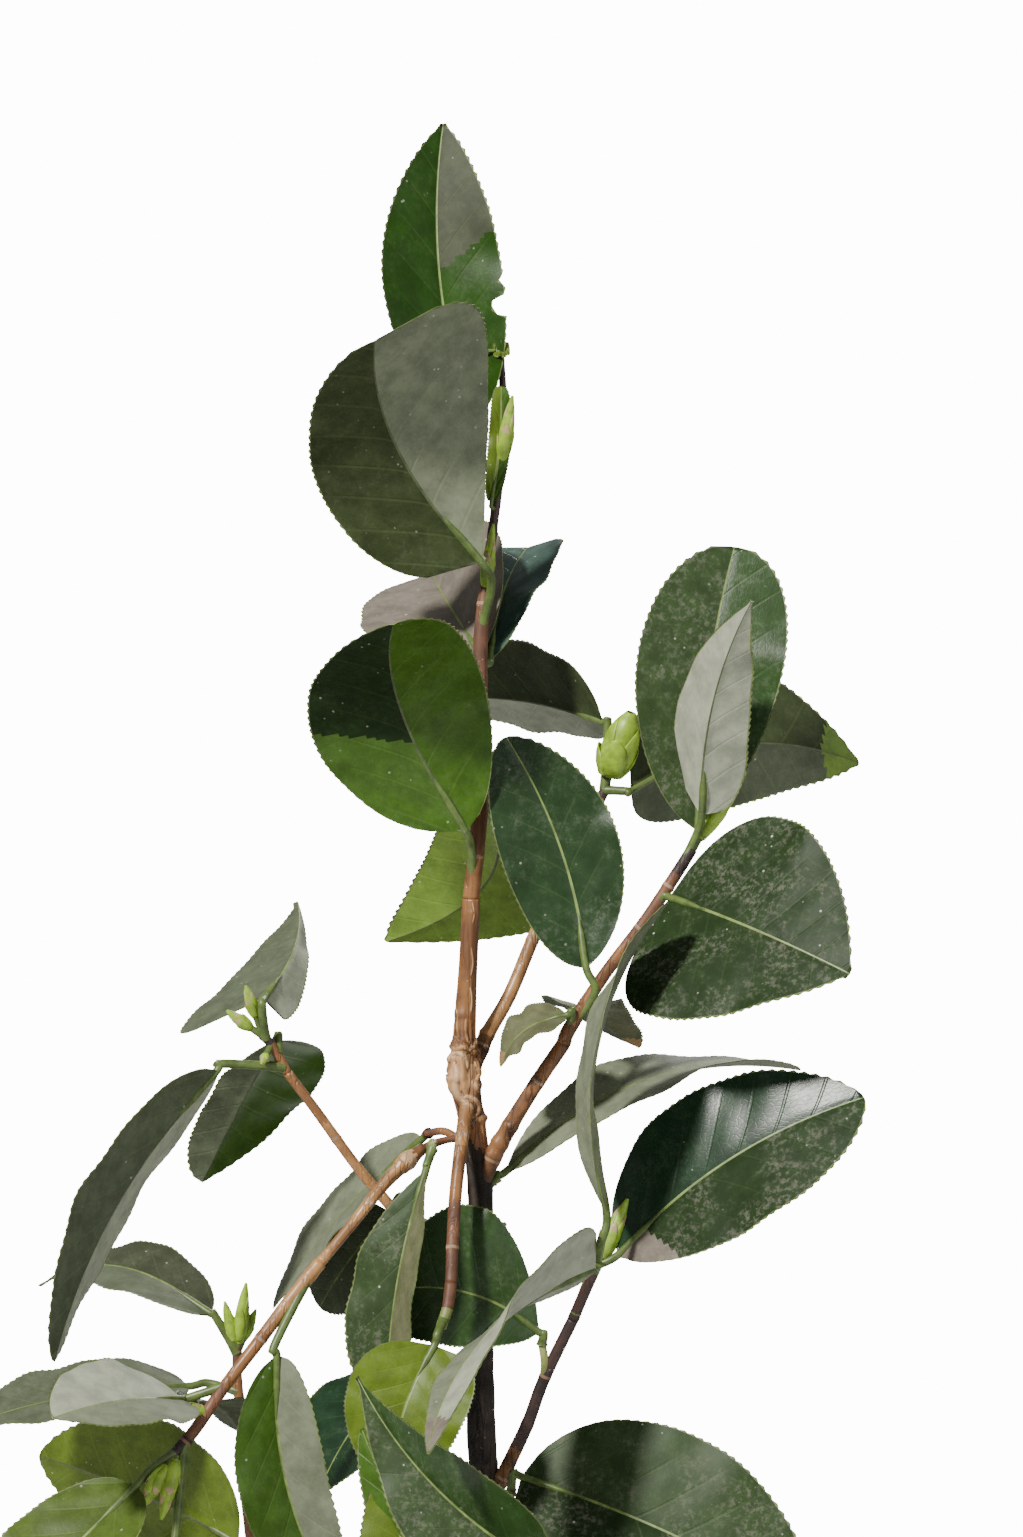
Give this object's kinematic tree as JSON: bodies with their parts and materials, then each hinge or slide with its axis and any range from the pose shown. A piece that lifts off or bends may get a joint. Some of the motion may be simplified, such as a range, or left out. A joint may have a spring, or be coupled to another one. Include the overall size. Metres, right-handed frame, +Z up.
{
  "type": "camellia shrub",
  "caption": "Young camellia shrub rooted in the ground: slender trunk, long leaning boughs and open masses of broad glossy leaves with buds at the shoot tips.",
  "frame": {"origin": "middle of the flat cut under the trunk, on the mount ground", "axes": "+Z up the plant; the side that the picture shows faces -Y, and +X is to its right"},
  "size_m": [0.3213, 0.3146, 0.6622],
  "materials": {
    "bark": "satin, finely cracked",
    "foliage": "glossy leaf"
  },
  "bodies": {
    "root": {"trunk": "bark", "right_inner_bough": "bark", "right_bough": "bark", "lower_right_bough": "bark", "drooping_bough": "bark", "left_bough": "bark", "upper_left_bough": "bark", "back_bough": "bark", "second_stem": "bark", "low_left_bough": "bark", "low_right_bough": "bark", "low_front_bough": "bark", "low_back_bough": "bark", "leader_foliage": "foliage", "right_inner_foliage": "foliage", "right_foliage": "foliage", "trailing_leaf": "foliage", "lower_right_foliage": "foliage", "inner_leaf": "foliage", "hanging_leaf": "foliage", "drooping_foliage": "foliage", "left_foliage": "foliage", "upper_left_foliage": "foliage", "arched_leaf": "foliage", "back_foliage": "foliage", "second_stem_foliage": "foliage", "second_stem_leaf": "foliage", "second_stem_low_foliage": "foliage", "low_left_foliage": "foliage", "low_right_foliage": "foliage", "low_front_foliage": "foliage", "low_back_foliage": "foliage", "wide_low_leaf": "foliage"}
  },
  "joints": []
}
